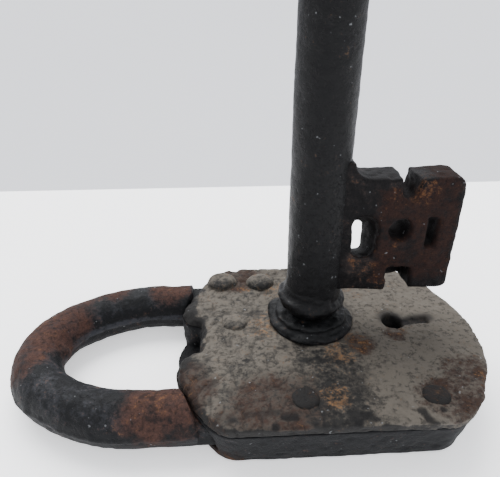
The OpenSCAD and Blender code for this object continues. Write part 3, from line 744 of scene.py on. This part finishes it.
key_paint = iron_material(
    "satin_black_paint_on_iron", "#050506", "#121316", "#231a16", "#4c3824", 0.45, shine=0.13)
for name, node, skin, rust in (
    ("key_shank_casting", "key_shank", turned(
        [(0, shank_low[2]), (SHANK_R - 0.8, shank_low[2]), (SHANK_R - 0.8, shank_low[2] + 1.4),
         (SHANK_R, shank_low[2] + 1.6), (SHANK_R, shank_high[2]), (0, shank_high[2])],
        KEY_AT, 0.6, 0.6, shank_height), 0.0),
    ("key_bead_casting", "key_collar", turned(
        [(SHANK_R - 0.6, bead_low[2] + 0.1), (SHANK_R + 0.6, bead_low[2]),
         (SHANK_R + 1.6, bead_low[2] + 0.8), (SHANK_R + 2.0, bead_low[2] + 2.2),
         (SHANK_R + 1.5, bead_high[2] - 1.2), (SHANK_R + 0.7, bead_high[2]),
         (SHANK_R + 0.2, bead_high[2] + 2.6), (SHANK_R - 0.4, bead_high[2] + 4),
         (SHANK_R - 0.6, bead_high[2])],
        KEY_AT, 0.4, 0.4, bead_height, loop=True), 0.05),
    ("bow_ferrule_casting", "bow_ferrule", turned(
        [(SHANK_R - 0.6, ferrule_low[2]), (SHANK_R + 0.8, ferrule_low[2]),
         (SHANK_R + 2.2, ferrule_low[2] + 1.6), (SHANK_R + 2.4, ferrule_low[2] + 3),
         (SHANK_R + 2.2, ferrule_high[2] - 1.6),
         (SHANK_R + 0.8, ferrule_high[2]), (SHANK_R - 0.6, ferrule_high[2])],
        KEY_AT, 0.4, 0.4, shank_height, loop=True), 0.1),
):
    vertices, faces = skin
    new_piece(name, vertices, faces, key_paint, "key", "key_iron", node, masks={
        "worn": np.full(len(vertices), 0.25), "rust": np.full(len(vertices), rust),
        "ochre": np.zeros(len(vertices)), "pit_and_painted_shade": np.zeros(len(vertices))})

# ---------------------------------------------------------------- key bow
# The ring that the key is turned by, cast in one with a short stub that enters the ferrule. The
# hands that turned it wore its paint thin round the outside.
bow_low, bow_high = box_mm("key_bow")
BOW_BAR_R = (bow_high[1] - bow_low[1]) / 2 - 1
BOW_R = (bow_high[0] - bow_low[0]) / 2 - BOW_BAR_R
BOW_Z = bow_high[2] - BOW_R - BOW_BAR_R
STUB_R = BOW_BAR_R + 0.8


def bow_distance(p):
    """Distance to the bow: a ring of round bar that stands in the plane of the bit, joined by a
    fillet to a stub on the key's axis."""
    x, y, z = p[..., 0] - KEY_AT[0], p[..., 1] - KEY_AT[1], p[..., 2]
    ring = np.hypot(np.hypot(x, z - BOW_Z) - BOW_R, y) - BOW_BAR_R + 0.15
    stub = np.maximum(np.hypot(x, y) - STUB_R, slab(z, bow_low[2], BOW_Z - BOW_R))
    d = round_min(ring, stub, 3.0)
    d = near_skin(d, p, lambda q: iron_grain(q, 0.15, 0.08, 101))
    return np.maximum(d, bow_low[2] - z)


vertices, faces = cast_skin(bow_distance, bow_low, bow_high, 0.6)
rim = ramp(np.hypot(vertices[:, 0] - KEY_AT[0], vertices[:, 2] - BOW_Z), BOW_R, BOW_R + BOW_BAR_R)
new_piece("key_bow_casting", vertices, faces, key_paint, "key", "key_iron", "key_bow", masks={
    "worn": 0.2 + 0.35 * rim, "rust": 0.25 * rim, "ochre": 0.05 * rim, "pit_and_painted_shade": np.zeros(len(vertices))})

# ---------------------------------------------------------------- key bit
# A thick cast flag on the shank, with a slot beside the shank, a hole, a narrow outer slot, a
# square notch below and a rounded one above. Black paint clings to its top and its inner side, and
# the rest has rusted brown.
bit_low, bit_high = box_mm("key_bit")
# Places on the bit's face are (u, w): u is measured out from the key's axis, and w is the height. The
# openings are given by their middle, their half sizes and the radius of their corners.
BIT_ROOT_U = 4.5  # inside the shank
ROOT_ROOM = (3, 0, 0)  # how far the skin's grid reaches past the CAD bit, to close the root
BIT_MIDDLE_U = 22.1
BIT_HALF_U = 22.0
BIT_END_U = 43.7
BIT_TOP_Z = 74
BIT_FILLET_R = 5.0
INNER_SLOT = ((14.3, 54.6), (4.0, 7.2), 3.4)
OUTER_SLOT = ((35.8, 55.6), (1.8, 5.2), 0.8)
LOWER_NOTCH = ((26.8, 36), (4.0, 6.9), 0.8)
LOWER_NOTCH_BACK = 3.0
UPPER_NOTCH_AT = (27.0, 75)
UPPER_NOTCH_HALF = (2.0, 8.2)
UPPER_NOTCH_R = 1.9
BIT_HOLE = (25.4, 56.6)
BIT_HOLE_R = 3.75


def frame_2d(u, w, centre, half, corner_r):
    """Distance to a rectangle with round corners."""
    a = np.abs(u - centre[0]) - half[0] + corner_r
    b = np.abs(w - centre[1]) - half[1] + corner_r
    return np.hypot(np.maximum(a, 0), np.maximum(b, 0)) + np.minimum(np.maximum(a, b), 0) - corner_r


def bit_holes(u, y, w, rough):
    """Distance to the nearest opening. Each narrows towards the back, the slot beside the shank
    falls as it goes back, and the lower notch stops short of the back."""
    depth = np.clip((y - bit_low[1]) / (bit_high[1] - bit_low[1]), 0, 1)
    taper = 1.7 * ramp(depth, 0.1, 0.9)
    inner = frame_2d(u, w + 5.0 * depth, *INNER_SLOT) + taper + rough
    middle = np.hypot(u - BIT_HOLE[0], w - BIT_HOLE[1]) - BIT_HOLE_R + 0.4 * taper + rough * 0.7
    outer = frame_2d(u, w, *OUTER_SLOT) + 0.25 * taper + rough * 0.5
    lower = frame_2d(u, w, *LOWER_NOTCH) + 0.3 * taper + rough * 0.6
    lower = np.maximum(lower, y - bit_high[1] + LOWER_NOTCH_BACK)
    splay = 0.1 * np.clip(w - BIT_TOP_Z + 7, 0, 9)
    upper = frame_2d(u, w, UPPER_NOTCH_AT, (UPPER_NOTCH_HALF[0] + splay, UPPER_NOTCH_HALF[1]), UPPER_NOTCH_R)
    upper = upper + 0.35 * taper + rough
    return np.minimum(np.minimum(np.minimum(inner, middle), np.minimum(outer, lower)), upper)


def bit_distance(p):
    """Distance to the bit: a rectangle with round corners and an end that leans out a little, a
    curved web up the shank at the top, less the openings, between two rounded faces."""
    u, y, w = p[..., 0] - KEY_AT[0], p[..., 1], p[..., 2]
    middle = (BIT_MIDDLE_U, (bit_low[2] + BIT_TOP_Z) / 2)
    body = frame_2d(u, w, middle, (BIT_HALF_U, (BIT_TOP_Z - bit_low[2]) / 2 - 0.1), 3.0)
    body = np.maximum(body, u - BIT_END_U - 0.5 * (w - bit_low[2]) / 40)
    web_u, web_z = u - SHANK_R - BIT_FILLET_R, w - BIT_TOP_Z - BIT_FILLET_R
    web = np.maximum(np.maximum(web_u, web_z), 60 - w)
    web = np.maximum(web, BIT_FILLET_R - np.hypot(web_u, web_z))
    body = np.maximum(np.minimum(body, web), BIT_ROOT_U - u)
    rough = 0.3 * lumps(p, 2.4, 111) + 0.2 * lumps(p, 5.0, 112)
    flat = round_max(body, -bit_holes(u, y, w, rough), 0.6)
    d = round_max(flat, slab(y, bit_low[1] + 0.1, bit_high[1] - 0.1), 1.3)
    return near_skin(d, p, lambda q: iron_grain(q, 0.22, 0.14, 113))


rusted = iron_material(
    "black_paint_rusted_brown", "#080708", "#241f1e", "#30201b", "#5f4029", 0.65, shine=0.1)
vertices, faces = cast_skin(bit_distance, bit_low - ROOT_ROOM, bit_high, 0.5)
x, y, z = vertices.T
u = x - KEY_AT[0]
black = np.maximum(1 - ramp(u, 12, 21), ramp(z, 69, 73) * (1 - ramp(u, 28, 36)))
black = np.maximum(black, ramp(u, 41, 44) * 0.6 + (1 - ramp(z, 36, 41)) * 0.7)
# Painted shade: the walls of the openings are darkened through the pit mask, and more so the further they are
# from the front face.
shaded_opening_walls = 1 - ramp(np.abs(bit_holes(u, y, z, 0.0)), 0.5, 1.6)
new_piece("key_bit_casting", vertices, faces, rusted, "key", "rusty_iron", "key_bit", masks={
    "worn": 0.35 + 0.3 * spots(vertices, (36, -1.5, 45, 7), (49, -1.5, 51, 5), (49, -1.5, 66, 6)),
    "rust": 0.72 - 0.8 * np.clip(black, 0, 1),
    "ochre": 0.32 * spots(vertices, (36, -1.5, 46, 5), (53, -1.5, 71, 8), (47, -1.5, 35, 6),
                         (49, -1.5, 52, 4), (38, -1.5, 43, 6)),
    "pit_and_painted_shade": 0.9 * shaded_opening_walls * ramp(y, bit_low[1] + 0.8, bit_low[1] + 3.5)})

# ---------------------------------------------------------------- lock work
# Machined pieces inside the case, oiled once: the steel ones keep the fine lines of the file, and
# the brass ones the rings of the lathe.


def worked_metal(name, light, dark, rough, line_mm):
    """Bare metal that a tool has cut, which the eye reads from its fine parallel lines: two tones
    in drawn-out streaks, oil stains a few millimetres wide, and a roughness that follows both."""
    material, tree = new_material(name)
    place = put(tree, "ShaderNodeTexCoord", out="Object")
    drawn = put(tree, "ShaderNodeMapping", {"Vector": place, "Scale": (0.08, 1.0, 1.0)}, out=0)
    lines = put(tree, "ShaderNodeTexNoise", {
        "Vector": drawn, "Scale": 1 / (line_mm * MM), "Detail": 4.0, "Roughness": 0.7}, out="Fac")
    stain = put(tree, "ShaderNodeTexNoise", {
        "Vector": place, "Scale": 1 / (4 * MM), "Detail": 5.0, "Roughness": 0.6}, out="Fac")
    both = put(tree, "ShaderNodeMath", {0: lines, 1: stain}, operation="MULTIPLY", out=0)
    share = put(tree, "ShaderNodeMapRange", {"Value": both, "From Min": 0.15, "From Max": 0.4}, out=0)
    tone = put(tree, "ShaderNodeMix", {0: share, 6: linear(dark), 7: linear(light)},
               data_type="RGBA", out=2)
    normal = put(tree, "ShaderNodeBump", {"Height": lines, "Strength": 0.4, "Distance": 0.03 * MM}, out=0)
    dull = put(tree, "ShaderNodeMapRange", {"Value": stain, "To Min": rough, "To Max": rough + 0.25}, out=0)
    shader = put(tree, "ShaderNodeBsdfPrincipled", {
        "Base Color": tone, "Metallic": 1.0, "Roughness": dull, "Normal": normal}, out="BSDF")
    put(tree, "ShaderNodeOutputMaterial", {"Surface": shader})
    return material


filed_steel = worked_metal("oiled_filed_steel", "#9b9c9e", "#5d5c5b", 0.32, 0.25)
turned_brass = worked_metal("dull_turned_brass", "#b8944f", "#6f5630", 0.35, 0.2)
STEEL_NODES = ("heel_washers", "nose_guides", "bolt_keeper", "keeper_screws", "bolt_spring",
               "kick_spring", "spring_screws", "lock_rotor", "locking_bolt", "bolt_nose", "key_spigot")
BRASS_NODES = ("thrust_washer", "heel_bush", "crank_pin", "nose_rivets")
for nodes, metal in ((STEEL_NODES, filed_steel), (BRASS_NODES, turned_brass)):
    for node in nodes:
        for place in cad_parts[node].material_slots:
            place.material = metal
